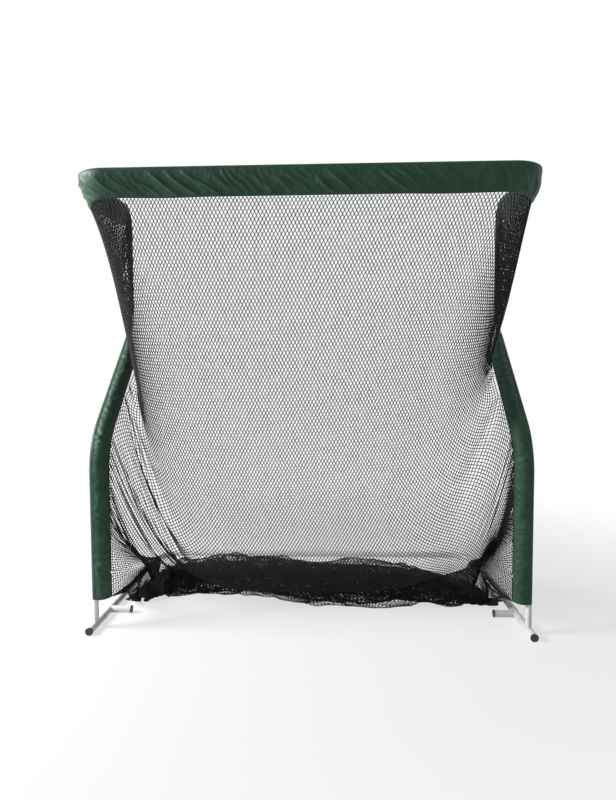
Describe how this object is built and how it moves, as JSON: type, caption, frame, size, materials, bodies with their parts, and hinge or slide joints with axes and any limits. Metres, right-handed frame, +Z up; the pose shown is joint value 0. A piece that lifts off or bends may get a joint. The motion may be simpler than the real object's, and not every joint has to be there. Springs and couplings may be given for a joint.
{
  "type": "golf chipping net",
  "caption": "Free-standing push-fit steel tube frame with green cloth sleeves and black netting that catches chipped golf balls.",
  "frame": {"origin": "on the floor, midway between the frame's left and right sides and between its front and back extremes", "axes": "+X to the right seen from the golfer, +Y away from the golfer, +Z up"},
  "size_m": [2.1346, 1.2924, 2.1951],
  "materials": {
    "white_steel": "satin",
    "black_plastic": "matte",
    "green_cloth": "satin",
    "black_netting": "matte",
    "black_hem": "matte",
    "tie_cord": "matte"
  },
  "bodies": {
    "base": {"left_foot_tube": "white_steel", "left_front_cap": "black_plastic", "left_net_corner": "black_netting", "left_post": "white_steel", "left_stub": "white_steel", "left_stub_cap": "black_plastic", "left_tie_loop": "tie_cord", "net_heap": "black_netting", "right_foot_tube": "white_steel", "right_front_cap": "black_plastic", "right_net_corner": "black_netting", "right_post": "white_steel", "right_stub": "white_steel", "right_stub_cap": "black_plastic", "right_tie_loop": "tie_cord"},
    "rear_hoop": {"left_corner_tie": "tie_cord", "left_rear_rail": "white_steel", "rear_bar_coupler": "white_steel", "right_corner_tie": "tie_cord", "right_rear_rail": "white_steel"},
    "uprights": {"left_lower_side_net": "black_netting", "left_side_sleeve": "green_cloth", "left_tie_cord": "tie_cord", "left_upright": "white_steel", "right_lower_side_net": "black_netting", "right_side_sleeve": "green_cloth", "right_tie_cord": "tie_cord", "right_upright": "white_steel"},
    "canopy": {"left_arm_sleeve": "green_cloth", "left_net_wing": "black_netting", "left_spine_arm": "white_steel", "left_spine_hem": "black_hem", "left_top_bar": "white_steel", "left_upper_side_net": "black_netting", "net_curtain": "black_netting", "right_arm_sleeve": "green_cloth", "right_net_wing": "black_netting", "right_spine_arm": "white_steel", "right_spine_hem": "black_hem", "right_top_bar": "white_steel", "right_upper_side_net": "black_netting", "top_bar_coupler": "white_steel", "top_sleeve": "green_cloth"}
  },
  "joints": [
    {"name": "rear_hoop_pull", "type": "slide", "parent": "base", "child": "rear_hoop", "axis": [0, 1, 0], "range_m": [0, 0.09]},
    {"name": "uprights_lift", "type": "slide", "parent": "base", "child": "uprights", "axis": [0, 0, 1], "range_m": [0, 0.09]},
    {"name": "canopy_lift", "type": "slide", "parent": "uprights", "child": "canopy", "axis": [0, 0, 1], "range_m": [0, 0.09]}
  ]
}
